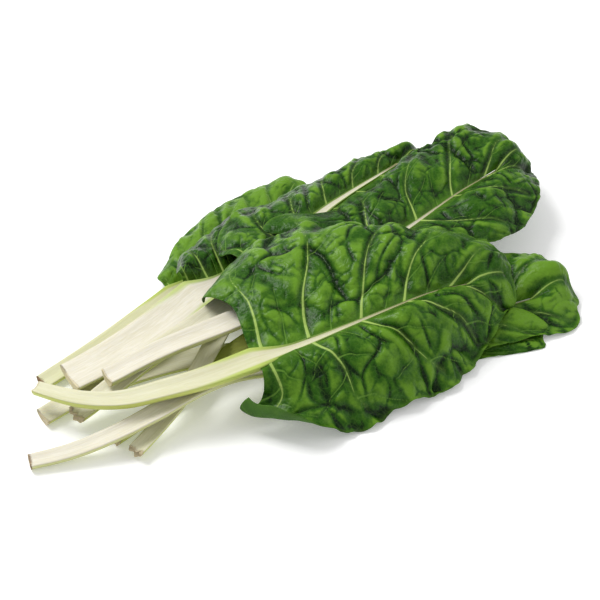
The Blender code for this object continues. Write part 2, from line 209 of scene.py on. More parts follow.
def controlNet(leaf, line):  # rows out from the rib by columns round the tip
    shares = np.linspace(0, 1, leaf["columns"]) ** leafPlan["crowding"]
    travel = leaf["stalk"] + shares * (line.length - leaf["stalk"])
    spots, along = line.at(travel)
    spots[-1] += along[-1] * leafPlan["endGap"]
    width = line.size(leaf, travel)[0]
    angle = np.radians(throughKnots(leafPlan["fanAngles"], shares))
    out = np.linspace(0, 1, leaf["rows"] + 1)
    swung = ease(out, 0.4, 0.8)
    sides = []
    for turn, reach, flare in zip((1, -1), (leaf["left"], leaf["right"]), leaf["flare"]):
        span = throughKnots(reach, shares)
        columns = []
        for k, share in enumerate(shares):
            side = np.array([-along[k, 1], along[k, 0]]) * turn
            bend = angle[k] * (1 - leafPlan["veinBend"] * min(1, 3 * share) * out)
            bend = bend + math.radians(flare) * (1 - share) ** 6 * swung
            heading = np.cos(bend)[:, None] * along[k] + np.sin(bend)[:, None] * side
            root = spots[k] + side * (0.5 * width[k] + leafPlan["rootSeam"])
            columns.append(root + heading * (out * span[k])[:, None])
        sides.append(columns)
    reach = 0.5 * (leaf["left"][-1] + leaf["right"][-1])
    tip = spots[-1] + along[-1] * (out * reach)[:, None]
    plan = np.stack(sides[0] + [tip] + sides[1][::-1], axis=1)
    height = packedHeights(leaf, plan)
    even = height.copy()
    even[:, 1:-1] = 0.25 * (height[:, :-2] + 2 * height[:, 1:-1] + height[:, 2:])
    return np.dstack([plan, height + (even - height) * out[:, None]])  # evener towards the margin


def alongRib(leaf, column):  # how far up the rib each column starts, from 0 to 1
    share = np.minimum(column, 2 * leaf["columns"] - column) / (leaf["columns"] - 1)
    return np.clip(share, 0, 1) ** leafPlan["crowding"]


def ribWaist(leaf, travel):  # share of the stalk's width that the rib keeps between the blade's sides
    return 1 - leaf["waist"] * ease(travel - leaf["stalk"], -5, 40)


# The smooth sheet of the blade

def fineSheet(leaf, net):  # the net made smooth, and the control column that each fine column lies on
    count, rows = leaf["mesh"]
    middle = net[int(0.6 * len(net))]
    travel = travelled(middle)
    column = np.interp(np.linspace(0, travel[-1], count), travel, np.arange(len(middle)))
    out = np.linspace(0, 1, rows)
    tall = throughKnots(net, out)
    wide = throughKnots(np.swapaxes(tall, 0, 1), column / (len(middle) - 1))
    return np.swapaxes(wide, 0, 1), column, out


def roundedCorners(leaf, sheet, column, out):  # the base corners of the blade as quarter ellipses
    rows, count = sheet.shape[:2]
    last, (wide, high) = 2 * leaf["columns"], leaf["corner"]
    fromEnd = np.minimum(column, last - column)
    p = np.clip(1 - fromEnd / wide, 0, 1)[None, :]
    q = np.clip((out - 1 + high) / high, 0, 1)[:, None]
    inward = wide * p * (1 - np.sqrt(1 - 0.5 * q * q)) * np.where(column < leaf["columns"], 1, -1)
    drawn = high * q * (1 - np.sqrt(1 - 0.5 * p * p))
    across = np.interp(column[None, :] + inward, column, np.arange(count))
    return sampled(sheet, (out[:, None] - drawn) * (rows - 1), across)


def unitNormals(sheet):  # pointing up
    across, outward = np.gradient(sheet, axis=1), np.gradient(sheet, axis=0)
    normal = np.cross(across, outward)
    normal /= np.maximum(np.linalg.norm(normal, axis=2), 1e-9)[..., None]
    return normal if normal[..., 2].mean() > 0 else -normal


# The veins

veinPattern = {
    "start": 0.12, "scatter": 0.05, "last": 0.96,  # places on the rib, the first two in pitches
    "reach": (0.8, 0.93), "sweep": 0.2, "wobble": (0.06, 0.13),
    "half": (1.3, 0.1), "thinning": 0.4,  # half width at the rib and at the end
    "forkStep": 0.17, "forkScatter": 0.04, "forkSpan": (0.36, 0.7), "forkRise": (0.14, 0.3),
    "forkCurve": (0.7, 1.1), "forkHalf": (0.42, 0.1),
    "smallPlace": (0.42, 0.58), "smallReach": (0.25, 0.5), "smallHalf": (0.45, 0.12),
    "ahead": 0.8, "aheadHalf": (0.8, 0.15),  # the vein that goes on from the rib's end
}


def veinLines(leaf, sheet, column):  # side veins and their forks: points in space and half widths
    s = veinPattern
    rng = np.random.default_rng(leaf["seed"] + 100)
    rows, count = sheet.shape[:2]
    veins, forks = [], []

    def trace(lines, side, shares, outs, halves):
        shares, outs = np.clip(shares, 0, 1), np.clip(outs, 0, 1)
        spot = (leaf["columns"] - 1) * shares ** (1 / leafPlan["crowding"])
        spot = spot if side == 0 else 2 * leaf["columns"] - spot
        across = np.interp(spot, column, np.arange(count))
        thinner = np.linspace(0, 1, len(outs)) ** 0.55
        lines.append((sampled(sheet, outs * (rows - 1), across),
                      halves[0] + (halves[1] - halves[0]) * thinner))

    pitch = 1 / leaf["pleats"]
    for side in (0, 1):
        for k in range(int(leaf["pleats"] + 0.999)):
            place = k + s["start"] + rng.uniform(-s["scatter"], s["scatter"])
            share = min(s["last"], place * pitch + 0.01)
            reach = rng.uniform(*s["reach"])
            wobble, phase = rng.uniform(*s["wobble"]) * pitch, rng.uniform(0, 6.28)
            size = leaf["veins"] * (1 - s["thinning"] * share)

            def primary(out):
                return share + pitch * s["sweep"] * out**2 + wobble * out * np.sin(7 * out + phase)

            outs = np.linspace(0, reach, 26)
            trace(veins, side, primary(outs), outs, [half * size for half in s["half"]])
            way = 1 if rng.random() < 0.5 else -1
            for start in np.arange(0.2, reach - 0.1, s["forkStep"]):
                start = start + rng.uniform(-s["forkScatter"], s["forkScatter"])
                fork = np.linspace(0, 1, 12)
                span = rng.uniform(*s["forkSpan"]) * pitch * (0.6 + 0.5 * start)
                rise = rng.uniform(*s["forkRise"])
                curve = fork ** rng.uniform(*s["forkCurve"])
                end = min(1.0, start + rise)
                shares = primary(start) + way * span * curve + 0.03 * pitch * np.sin(9 * fork + phase)
                first, last = s["forkHalf"]
                trace(forks, side, shares, start + (end - start) * fork**1.25,
                      (first * size * (1 - 0.4 * start), last * size))
                way = -way
            between = share + pitch * rng.uniform(*s["smallPlace"])
            if between < s["last"]:
                outs = np.linspace(0, rng.uniform(*s["smallReach"]), 10)
                shares = between + pitch * 0.15 * outs + 0.05 * pitch * np.sin(8 * outs + phase)
                trace(forks, side, shares, outs, [half * size for half in s["smallHalf"]])
    middle = int(np.argmin(np.abs(column - leaf["columns"])))
    ahead = sheet[: int(s["ahead"] * rows): 4, middle]
    first, last = (half * leaf["veins"] for half in s["aheadHalf"])
    veins.append((ahead, np.linspace(first, last, len(ahead))))
    return veins, forks


def gapToVeins(points, lines):  # below 0 inside a vein, and how far off it is outside
    flat = points[..., :2].reshape(-1, 2)
    best = np.full(len(flat), 60.0)
    around = 14  # no vein matters further off
    for line, half in lines:
        low, high = line[:, :2].min(axis=0) - around, line[:, :2].max(axis=0) + around
        near = np.nonzero(((flat > low) & (flat < high)).all(axis=1))[0]
        spot = flat[near]
        gap = best[near]
        for k in range(len(line) - 1):
            a, along = line[k, :2], line[k + 1, :2] - line[k, :2]
            t = np.clip((spot - a) @ along / max(along @ along, 1e-9), 0, 1)
            away = np.linalg.norm(spot - a - t[:, None] * along, axis=1)
            gap = np.minimum(gap, away - half[k] - t * (half[k + 1] - half[k]))
        best[near] = gap
    return best.reshape(points.shape[:2])


# The relief of the blade

bladeRelief = {
    "valley": (5.0, 1.4), "notch": (2.2, 1.4), "notchDepth": 0.45,  # along side veins, and along forks
    "puff": 1.9, "lump": (0.9, 15), "ridge": (1.8, 31), "pleat": (5.0, 60),  # height and size
    "crease": (2.6, 36.0, 2.0), "fineCrease": (1.0, 15.0, 1.2),  # depth, size and width
    "fold": (4.5, 78.0, 5.0),
    "vein": (0.5, 1.2),  # height and half width of the raised cord
}


def pleatRise(leaf, column, out):  # each pleat climbs from one side vein and drops steeply to the next
    phase = alongRib(leaf, column)[None, :] * leaf["pleats"] - 0.2 * out[:, None] ** 2 - 0.17
    climb = phase - np.floor(phase)
    return climb ** 1.5 * (1 - ease(climb, 0.82, 1.0)) * (phase > 0)


def crinkle(leaf, sheet, column, out, far, gap, forkGap):  # height of each point over the smooth sheet
    s = bladeRelief
    x, y, seed = sheet[..., 0], sheet[..., 1], leaf["seed"]

    def groove(name, number):
        depth, size, width = s[name]
        return depth * creases(x, y, size, width, seed + number)

    def nearness(distance, name):  # 1 in the vein, 0 far off
        width, power = s[name]
        return np.exp(-(np.maximum(distance, 0) / width) ** power)

    notch = 1 - s["notchDepth"] * nearness(forkGap, "notch")
    lump = s["lump"][0] * gradientNoise(x, y, s["lump"][1], seed + 3)
    ridge = s["ridge"][0] * (0.5 - np.abs(gradientNoise(x, y, s["ridge"][1], seed + 4)))
    puff = s["puff"] + lump + ridge
    cut = groove("crease", 5) + groove("fineCrease", 6)
    height, size = s["pleat"]
    pleat = height * pleatRise(leaf, column, out)
    pleat = pleat * (0.65 + 0.5 * gradientNoise(x, y, size, seed + 12))
    broad = (pleat - groove("fold", 15)) * ease(far, 4, 22)
    small = (1 - nearness(gap, "valley")) * (puff * notch - cut) * ease(far, 0, 8)
    cord = np.sqrt(np.clip(-gap / s["vein"][1], 0, 1)) * s["vein"][0]
    return leaf["savoy"] * (small + broad) + cord


# the blade's paint turns this into painted shade in hollows and painted light on humps
def hollowness(sheet):  # over 0 in hollows and under 0 on humps
    normal = unitNormals(sheet)
    near = ((blurred(sheet, 3) - sheet) * normal).sum(axis=2) / 0.6
    wide = ((blurred(sheet, 8) - sheet) * normal).sum(axis=2) / 2.4
    return np.clip(0.35 * near + 0.65 * wide, -1, 1)


# The margin of the blade

marginShape = {
    "width": 13.0, "lobeWidth": 18.0, "rollSize": 42.0,  # of the stretch that curls
    "waveSize": 24.0, "fineSize": 9.0, "fineShare": 0.25, "scallopSize": 19.0, "scallop": 1.2,
    "leastGap": 0.6, "softness": 0.4,  # to the next leaf
}


def baseLobes(leaf, column):  # 1 in the left and in the right base lobe, 0 past them
    last = 2 * leaf["columns"]
    return 1 - ease(column, 2, 7), ease(column, last - 9, last - 3)


def curlMargin(leaf, sheet, far, span, lobes):  # rolls the last stretch of each column up or down
    roll = rowNoise(travelled(sheet[-1]), 3, marginShape["rollSize"], leaf["seed"] + 6)
    width = marginShape["width"] + marginShape["lobeWidth"] * sum(lobes)
    angle = leaf["curl"] * (0.5 + 1.3 * roll) * (1 - sum(lobes))
    angle = np.radians(angle + leaf["lobeCurl"][0] * lobes[0] + leaf["lobeCurl"][1] * lobes[1])
    turn = np.where(np.abs(angle) < 0.05, 0.05, angle) / width
    arc = np.maximum(far - span + width, 0)
    reach = np.sin(np.minimum(np.abs(turn) * width, 0.5 * math.pi)) / np.abs(turn)
    pushed = (width - reach) * ease(far / np.maximum(span, 1), 0.1, 0.9)  # keeps the outline's place
    heading = sheet[-1] - sheet[len(sheet) // 2]
    heading /= np.linalg.norm(heading, axis=1)[:, None]
    moved = sheet + heading[None] * (pushed + np.sin(turn * arc) / turn - arc)[..., None]
    moved[..., 2] -= (1 - np.cos(turn * arc)) / turn
    return moved


def ruffleMargin(leaf, sheet, out, lobes):
    s = marginShape
    edge = travelled(sheet[-1])
    wave = rowNoise(edge, 7, s["waveSize"], leaf["seed"] + 7)
    fine = rowNoise(edge, 2, s["fineSize"], leaf["seed"] + 8)
    grown = ease(out, 0.55, 1.0)[:, None] * (1 - 0.9 * sum(lobes))
    sheet[..., 2] += leaf["ruffle"] * grown * (wave + s["fineShare"] * fine)[None, :]
    heading = sheet[-1] - sheet[-6]
    heading /= np.linalg.norm(heading, axis=1)[:, None]
    scallop = 0.5 * np.abs(rowNoise(edge, 5, s["scallopSize"], leaf["seed"] + 9)) - 0.15
    return sheet + heading[None] * (leaf["ruffle"] * s["scallop"] * grown * scallop[None, :])[..., None]


def keptApart(sheet, base, lower, upper):  # the relief may take up to half of the gap to the next leaf
    least, softness = marginShape["leastGap"], marginShape["softness"]
    xy = sheet[..., :2].reshape(-1, 2)
    shape = base.shape[:2]
    floor = np.maximum(topOf(lower, xy, 0.0), 0.0).reshape(shape)
    ceiling = undersideOf(upper, xy, 1e4).reshape(shape)
    lowest = floor + np.maximum(0.5 * (base[..., 2] - floor), least)
    highest = ceiling - np.maximum(0.5 * (ceiling - base[..., 2]), least)
    room = highest - sheet[..., 2]
    sheet[..., 2] = highest - 0.5 * (room + np.sqrt(room * room + softness))
    rise = sheet[..., 2] - lowest
    sheet[..., 2] = np.maximum(lowest + 0.5 * (rise + np.sqrt(rise * rise + softness)), lowest)
    return sheet


# Meshes from rows and columns of points

def pickOnly(piece):
    bpy.ops.object.select_all(action="DESELECT")
    bpy.context.view_layer.objects.active = piece
    piece.select_set(True)


def gridPiece(name, points):  # a grid primitive with its corners put in place
    rows, columns = points.shape[:2]
    bpy.ops.object.select_all(action="DESELECT")
    bpy.ops.mesh.primitive_grid_add(x_subdivisions=columns - 1, y_subdivisions=rows - 1, size=2)
    piece = bpy.context.object
    piece.name = piece.data.name = name
    co = np.empty(len(piece.data.vertices) * 3)
    piece.data.vertices.foreach_get("co", co)
    co = co.reshape(-1, 3)
    across = np.rint((co[:, 0] + 1) / 2 * (columns - 1)).astype(int)
    up = np.rint((co[:, 1] + 1) / 2 * (rows - 1)).astype(int)
    placed = points[up, across] * mm
    piece.data.vertices.foreach_set("co", placed.astype(np.float32).ravel())
    piece.data.update()
    return piece, (up, across)


def mark(piece, name, values):
    attribute = piece.data.attributes.new(name, "FLOAT", "POINT")
    attribute.data.foreach_set("value", np.asarray(values, np.float32))


# The blade

bladeShape = {
    "thickness": 0.6, "calmLobes": 0.7,
    "tuck": 1.3, "tuckReach": 14,  # the root goes this deep into the rib
}


def makeBlade(leaf, line, lower, upper, finish):
    s = bladeShape
    sheet, column, out = fineSheet(leaf, controlNet(leaf, line))
    sheet = roundedCorners(leaf, sheet, column, out)
    base = sheet.copy()
    lobes = baseLobes(leaf, column)
    veins, forks = veinLines(leaf, sheet, column)
    gap, forkGap = gapToVeins(sheet, veins), gapToVeins(sheet, forks)
    span = np.linalg.norm(sheet[-1] - sheet[0], axis=1)
    far = out[:, None] * span
    relief = crinkle(leaf, sheet, column, out, far, gap, forkGap)
    relief *= 1 - s["calmLobes"] * sum(lobes) * ease(out, 0.4, 0.8)[:, None]
    sheet = sheet + unitNormals(sheet) * relief[..., None]
    sheet = ruffleMargin(leaf, sheet, out, lobes)
    sheet = curlMargin(leaf, sheet, far, span, lobes)
    sheet = keptApart(sheet, base, lower, upper)
    hollow = hollowness(sheet)
    tuck = sheet[0] - sheet[1]
    tuck /= np.linalg.norm(tuck, axis=1)[:, None]
    travel = leaf["stalk"] + alongRib(leaf, column) * (line.length - leaf["stalk"])
    deep = s["tuck"] + 0.5 * line.size(leaf, travel)[0] * (1 - ribWaist(leaf, travel))
    sheet += tuck[None] * (deep[None, :] * (1 - ease(far, 0, s["tuckReach"])))[..., None]
    piece, (up, across) = gridPiece(leaf["name"] + "Blade", sheet)
    marks = {"veinGap": gap, "forkGap": forkGap, "hollow": hollow, "fromRib": far, "toMargin": span - far}
    for name, values in marks.items():
        mark(piece, name, values[up, across])
    shell = piece.modifiers.new("thickness", "SOLIDIFY")
    shell.thickness = s["thickness"] * mm
    shell.offset = -1
    pickOnly(piece)
    bpy.ops.object.modifier_apply(modifier=shell.name)
    under = np.zeros(len(piece.data.vertices))
    under[sheet.shape[0] * sheet.shape[1]:] = 1
    mark(piece, "underside", under)
    piece.data.shade_smooth()
    piece.data.materials.append(finish)
    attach(piece, "root")
    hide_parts(leaf["name"] + "_blade")


# The stalk, in one piece with the rib

stalkShape = {
    "outline": ((1.0, 0.96), (0.62, 0.90), (0.22, 0.80), (-0.22, 0.80), (-0.62, 0.90), (-1.0, 0.96),
                (-1.0, 0.68), (-0.70, 0.22), (-0.28, 0.0), (0.28, 0.0), (0.70, 0.22), (1.0, 0.68)),
    "around": 49, "step": 2.6,
    "wobble": 45.0, "swell": 0.015, "ribs": 23, "ribHeight": 0.16,
    "end": 60, "endNarrow": 0.35, "endShallow": 0.15,  # over the last stretch before the tip
    "slant": 0.12,
    "cut": ((0.0, 1.1), (0.3, 1.0), (0.6, 0.7), (0.8, 0.35), (0.92, 0.05), (0.985, 0.1)),  # size, depth
}


def closedOutline(count):
    knots = np.array(stalkShape["outline"] + stalkShape["outline"][:1])
    ring = np.vstack([knots[-2:-1], knots, knots[1:2]])
    where = (1 + np.linspace(0, 1, count) * (len(knots) - 1)) / (len(ring) - 1)
    return throughKnots(ring, where)


def packedUnderside(leaf, line, travel):  # evened out, but level where the stalk lies on the floor
    tree = cadTree([leaf["name"] + "_stalk"])
    inside = line.spotAt(np.clip(travel, 1.0, line.length - 1.0))
    low = undersideOf(tree, inside, -1)
    low[low < 0] = np.interp(np.nonzero(low < 0)[0], np.nonzero(low >= 0)[0], low[low >= 0])
    smooth = np.convolve(np.pad(low, 6, mode="edge"), np.ones(13) / 13, mode="valid")
    return np.where(low < 0.3, low, np.maximum(smooth, 0))


def stalkRows(leaf, line, travel, ring):
    s = stalkShape
    spots, along = line.at(np.clip(travel, 0, line.length))
    low = packedUnderside(leaf, line, travel)
    width, depth = line.size(leaf, travel)
    waist = ribWaist(leaf, travel)
    around = np.linspace(0, 1, len(ring))
    side = np.stack([-along[:, 1], along[:, 0]], 1)
    wobble = rowNoise(travel, 1, s["wobble"], leaf["seed"] + 20)
    groove = np.sin(around * 2 * math.pi * s["ribs"] + 1.0) * (0.5 + 0.5 * (ring[:, 1] < 0.6))
    grooveTop = np.where(ring[:, 1] > 0.6, 0.6, 0)
    ended = 1 - ease(line.length - travel, 0, s["end"])
    points = np.zeros((len(travel), len(ring), 3))
    for k in range(len(travel)):
        swell = 1 + s["swell"] * wobble[k] - s["endNarrow"] * ended[k]
        depthNow = depth[k] * (1 - s["endShallow"] * ended[k]) * (1 - 0.5 * (1 - waist[k]))
        half = 0.5 * width[k] * swell * waist[k]
        bump = s["ribHeight"] * groove * min(1.0, width[k] / 18) * (1 + 0.4 * wobble[k])
        across = ring[:, 0] * half * (1 + bump / max(half, 1))
        height = low[k] + depthNow * ring[:, 1] + bump * grooveTop
        points[k, :, :2] = spots[k] + side[k] * across[:, None]
        points[k, :, 2] = np.maximum(height, low[k])
    return closeEnds(points, along, leaf)


def closeEnds(points, along, leaf):  # a cut face with a soft edge at the start, a point at the rib's end
    first, last = points[0], points[-1]
    ahead = np.array([*along[0], 0.0])
    rng = np.random.default_rng(leaf["seed"] + 30)
    centre = first.mean(axis=0)
    slant = rng.uniform(-stalkShape["slant"], stalkShape["slant"])
    reach = (first - centre) @ np.array([-along[0, 1], along[0, 0], 0.0])
    cut = [centre + (first - centre) * share + ahead * depth for share, depth in stalkShape["cut"]]
    points[0] += ahead * 0.5
    around = np.arange(len(first))
    torn = leaf["torn"] * (rowNoise(around, 1, 4.0, leaf["seed"] + 31) + 0.4)
    torn[-1] = torn[0]
    for k, ring in enumerate(cut):
        ring += ahead * (slant * reach * (0.985 if k else 0) - torn * (k > 1))[:, None]
    for k, share in enumerate((0.9, 0.5, 0.2)):
        points[k] -= ahead * (torn * share)[:, None]
    tip = last.mean(axis=0)
    end = [tip + (last - tip) * 0.5, np.repeat(tip[None], len(last), axis=0)]
    return np.concatenate([np.array(cut), points, np.array(end)])


def makeStalk(leaf, line, finish):
    travel = np.linspace(0, line.length + 1.0, int(line.length / stalkShape["step"]))
    ring = closedOutline(stalkShape["around"])
    points = stalkRows(leaf, line, travel, ring)
    piece, (up, turn) = gridPiece(leaf["name"] + "Stalk", points)
    cutRows = np.zeros(len(stalkShape["cut"]))
    fromCut = np.concatenate([cutRows, travel, travel[-1:], travel[-1:]])
    edge = np.abs(ring[:, 0]) * ease(ring[:, 1], 0.3, 0.9)
    sideways = ease(np.abs(ring[:, 0]), 0.8, 0.97) * (1 - ease(ring[:, 1], 0.84, 0.95))
    face = 1 - np.maximum(sideways, 1 - ease(ring[:, 1], 0.55, 0.75))
    mark(piece, "fromCut", fromCut[up])
    mark(piece, "toBlade", leaf["stalk"] - fromCut[up])
    mark(piece, "toTip", line.length - fromCut[up])
    mark(piece, "flank", edge[turn])
    mark(piece, "across", ring[turn, 0])
    mark(piece, "face", face[turn])
    pickOnly(piece)
    bpy.ops.object.mode_set(mode="EDIT")
    bpy.ops.mesh.select_all(action="SELECT")
    bpy.ops.mesh.remove_doubles(threshold=0.02 * mm)
    bpy.ops.mesh.normals_make_consistent(inside=False)
    bpy.ops.object.mode_set(mode="OBJECT")
    piece.data.shade_smooth()
    piece.data.materials.append(finish)
    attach(piece, "root")
    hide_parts(leaf["name"] + "_stalk")


# Shader maths written as Python

class Wire:
    def __init__(self, tree, socket):
        self.tree, self.socket = tree, socket

    def node(self, kind, inputs, out=0, **settings):
        made = self.tree.nodes.new("ShaderNode" + kind)
        for name, value in settings.items():
            setattr(made, name, value)
        for key, value in inputs.items():
            if isinstance(value, Wire):
                self.tree.links.new(value.socket, made.inputs[key])
            else:
                made.inputs[key].default_value = value
        return Wire(self.tree, made.outputs[out])

    def maths(self, operation, a, b):
        return self.node("Math", {0: a, 1: b}, operation=operation)

    def __add__(self, other):
        return self.maths("ADD", self, other)

    def __sub__(self, other):
        return self.maths("SUBTRACT", self, other)

    def __rsub__(self, other):
        return self.maths("SUBTRACT", other, self)

    def __mul__(self, other):
        return self.maths("MULTIPLY", self, other)

    __radd__, __rmul__ = __add__, __mul__

    def between(self, low, high):  # 0 to 1 as the value goes from low to high
        return self.node("MapRange", {0: self, 1: low, 2: high, 3: 0.0, 4: 1.0},
                         interpolation_type="SMOOTHSTEP", clamp=True)

    def mixed(self, first, second):  # colours, by this factor
        paint = [c if isinstance(c, Wire) else (*c, 1) for c in (first, second)]
        return self.node("Mix", {0: self, 6: paint[0], 7: paint[1]}, out=2, data_type="RGBA")


class Finish:  # a material that reads the marks of its piece
    def __init__(self, name):
        self.material = bpy.data.materials.new(name)
        self.material.use_nodes = True
        self.tree = self.material.node_tree
        self.shader = self.tree.nodes["Principled BSDF"]
        self.pen = Wire(self.tree, self.shader.outputs[0])
        self.place = self.pen.node("TexCoord", {}, out=3)

    def read(self, *names):
        return [self.pen.node("Attribute", {}, out=2, attribute_name=name) for name in names]

    def noise(self, size, detail, where=None, out=0, rough=0.55):  # size in millimetres
        sockets = {"Vector": where or self.place, "Scale": 1 / (size * mm), "Detail": detail,
                   "Roughness": rough}
        return self.pen.node("TexNoise", sockets, out=out)

    def feed(self, sockets):  # what changes over the surface
        for socket, wire in sockets.items():
            self.tree.links.new(wire.socket, self.shader.inputs[socket])

    def fix(self, sockets):  # what is the same all over
        for socket, value in sockets.items():
            self.shader.inputs[socket].default_value = value

    def bump(self, strength, depth, height):
        sockets = {"Strength": strength, "Distance": depth * mm, "Height": height}
        self.feed({"Normal": self.pen.node("Bump", sockets)})


# deep is painted shade for the hollows, and light also serves as painted light on the puffs and along the
# margin
bladePaint = {
    "deep": (0.003, 0.018, 0.002), "mid": (0.022, 0.088, 0.004), "light": (0.12, 0.26, 0.018),
    "vein": (0.33, 0.47, 0.11), "fork": (0.13, 0.27, 0.035), "under": (0.055, 0.14, 0.02),
    "roughness": 0.31, "specular": 0.13,
    "patches": 40, "cloud": 13, "fine": 2.6, "shake": 14, "net": 4.5, "wideNet": 11.0,  # sizes
    "bump": (0.55, 0.9),  # strength and depth
}


def bladeMaterial(name, lift):
    s = bladePaint
    paint = Finish(name)
    gap, forkGap, hollow, fromRib, toMargin, under = paint.read(
        "veinGap", "forkGap", "hollow", "fromRib", "toMargin", "underside")
    patches = paint.noise(s["patches"], 2.0)
    cloud, fine = paint.noise(s["cloud"], 3.0), paint.noise(s["fine"], 4.0)
    shake = paint.noise(s["shake"], 2.0, out=1, rough=0.5)
    bent = paint.pen.node("VectorMath", {0: shake, 1: (8 * mm, 8 * mm, 8 * mm), 2: paint.place},
                          operation="MULTIPLY_ADD")
    net, wideNet = (paint.pen.node("TexVoronoi", {"Vector": bent, "Scale": 1 / (size * mm)},
                                   feature="DISTANCE_TO_EDGE") for size in (s["net"], s["wideNet"]))

    # painted light and shade: puffs are painted lighter and hollows painted darker, as light and shade
    # would fall on them, with patches of the leaf's own tone over them
    shadedTone = 0.5 - hollow * 0.62 + (patches - 0.5) * 1.0 + (cloud - 0.5) * 0.7 + (fine - 0.5) * 0.3 + lift
    colour = shadedTone.between(0.02, 0.52).mixed(s["deep"], s["mid"])
    colour = shadedTone.between(0.45, 1.05).mixed(colour, s["light"])
    # painted light: the margin is painted lighter, as if light shone through the thin edge; next to the
    # rib the blade's own colour is paler
    edge = (1 - toMargin.between(0.0, 6.0)) * patches.between(0.3, 0.65) * 0.5
    base = (1 - fromRib.between(0.0, 11.0)) * 0.4
    colour = (edge + base).mixed(colour, s["light"])

    # the fine net, then a pale halo, the forks and the side veins
    colour = ((1 - net.between(0.0, 0.08)) * 0.16).mixed(colour, s["fork"])
    halo = (1 - gap.between(-0.2, 2.4)) * 0.3
    colour = halo.mixed(colour, s["fork"])
    fork = (1 - (forkGap + (fine - 0.5) * 0.4).between(-0.2, 0.4)) * 0.75
    colour = fork.mixed(colour, s["fork"])
    vein = 1 - (gap + (fine - 0.5) * 0.4).between(-0.35, 0.2)
    vein = vein * (1.0 - 0.35 * toMargin.between(60.0, 10.0))
    colour = vein.mixed(colour, s["vein"])
    colour = (under * 0.7).mixed(colour, s["under"])
    rough = s["roughness"] + 0.3 * (cloud - 0.5) + 0.1 * vein + 0.2 * under
    paint.feed({"Base Color": colour, "Roughness": rough})
    paint.fix({"Specular IOR Level": s["specular"]})
    height = wideNet.between(0.0, 0.3) * 0.7 + net.between(0.0, 0.25) * 0.22 + fine * 0.14
    paint.bump(*s["bump"], height)
    return paint.material


stalkPaint = {
    "cream": (0.66, 0.62, 0.48), "white": (0.75, 0.715, 0.62), "streakAndSideShade": (0.50, 0.46, 0.30),
    "green": (0.50, 0.55, 0.13), "margin": (0.36, 0.50, 0.09), "beige": (0.33, 0.31, 0.15),
    "leaf": (0.10, 0.19, 0.025), "cut": (0.60, 0.53, 0.35), "brown": (0.16, 0.085, 0.03),
    "roughness": 0.42, "specular": 0.3,
    "glow": 0.1, "glowReach": (0.006, 0.005, 0.003),  # light that spreads in the flesh, in metres
    "streak": 0.8, "broad": 3.2,  # widths of the threads
    "bump": (0.5, 0.7),  # strength and depth
}


def stalkMaterial(name, green, brown, beige):
    s = stalkPaint
    paint = Finish(name)
    noise = paint.noise
    cut, toBlade, toTip, flank, across, face = paint.read(
        "fromCut", "toBlade", "toTip", "flank", "across", "face")

    # threads that run along the stalk
    thread = paint.pen.node("CombineXYZ", {0: cut * 0.00006, 1: across * 0.012, 2: face * 0.01})
    streak = noise(s["streak"], 4.0, where=thread)
    broad = noise(s["broad"], 2.0, where=thread)
    colour = (streak * 0.7 + broad * 0.4).between(0.4, 0.7).mixed(s["cream"], s["white"])
    # darker streaks are the stalk's own; the sides are also painted darker as painted shade
    colour = (broad.between(0.5, 0.7) * 0.35 + (1 - face) * 0.2).mixed(colour, s["streakAndSideShade"])

    # green on the sides and towards the blade, beige towards the rib's tip
    nearBlade = 1 - toBlade.between(-10.0, 100.0)
    line = (flank + nearBlade * 0.4).between(0.92, 1.25) * nearBlade
    tint = line * 0.6 + green * (0.7 + 0.6 * broad) + (1 - face) * (0.6 + nearBlade * 0.3)
    colour = tint.between(0.02, 1.0).mixed(colour, s["green"])
    colour = (line * 0.6).mixed(colour, s["margin"])
    colour = ((1 - toTip.between(0.3 * beige, beige)) * 0.9).mixed(colour, s["beige"])
    along = 1 - toBlade.between(-45.0, 5.0)
    colour = (flank.between(0.5, 0.8) * along * 0.85).mixed(colour, s["leaf"])

    # the cut face, its rim and the stain behind it
    inside = 1 - (cut + (noise(2.5, 3.0) - 0.5) * 1.5).between(0.1, 0.9)
    colour = inside.mixed(colour, s["cut"])
    stain = (1 - (cut + (noise(5.0, 3.0) - 0.5) * 9.0).between(0.5, 3.5)) * brown
    rim = (1 - (cut - 0.6).between(0.2, 1.3)) * cut.between(0.1, 0.5) * 0.35
    colour = (rim * (noise(4.0, 2.0) * 1.5)).mixed(colour, s["brown"])
    colour = stain.mixed(colour, s["brown"])
    rough = s["roughness"] + 0.2 * (streak - 0.5) + 0.2 * inside
    paint.feed({"Base Color": colour, "Roughness": rough})
    paint.fix({"Specular IOR Level": s["specular"], "Subsurface Weight": s["glow"],
               "Subsurface Radius": s["glowReach"], "Subsurface Scale": 1.0})
    paint.bump(*s["bump"], streak * 0.5 + broad * 0.5 + noise(0.9, 2.0) * 0.08)
    return paint.material


# The leaves, from the lowest to the top one. rib holds the knots of the rib from the cut end, stalk
# is the length up to the blade, width and depth are given at the cut and at the blade, and left and
# right are the reach of the blade to each side. columns and rows are those of the control net, and
# mesh those of the fine blade. corner rounds the base corners, and waist is the share of its width
# that the rib loses along the blade.

usualLeaf = dict(flare=(15, 15), curl=15, lobeCurl=(0, 0), corner=(4.5, 0.5), veins=1, waist=0.38,
                 beige=60)

